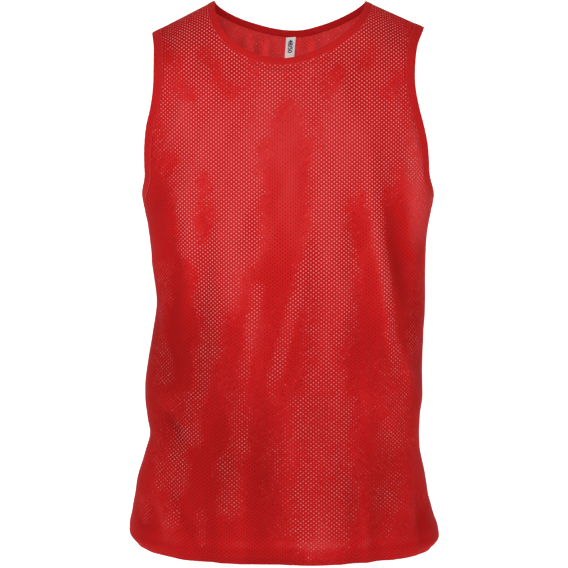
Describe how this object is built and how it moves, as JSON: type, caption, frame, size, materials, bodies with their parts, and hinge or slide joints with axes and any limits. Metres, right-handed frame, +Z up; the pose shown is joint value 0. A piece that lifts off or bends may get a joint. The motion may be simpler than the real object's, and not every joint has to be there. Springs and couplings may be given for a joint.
{
  "type": "mesh training bib",
  "caption": "Sleeveless mesh training bib, filled out as if worn by nobody: open neck, armholes and hem, with bound edges and a blank neck label.",
  "frame": {"origin": "on the centre line, midway between the two shoulder seams at their mean height, where a wearer's shoulders carry the garment", "axes": "+Z up along the garment's length, -Y the way the front faces, +X to the viewer's right as seen from the front"},
  "size_m": [0.4101, 0.2495, 0.7227],
  "materials": {
    "mesh_cloth": "matte knitted polyester mesh with a soft sheen",
    "binding_knit": "plain smooth knit, matte",
    "label_weave": "white woven satin tape, bare"
  },
  "bodies": {
    "root": {"front_panel": "mesh_cloth", "back_panel": "mesh_cloth", "neck_binding": "binding_knit", "armhole_binding_left": "binding_knit", "armhole_binding_right": "binding_knit", "neck_label": "label_weave"}
  },
  "joints": []
}
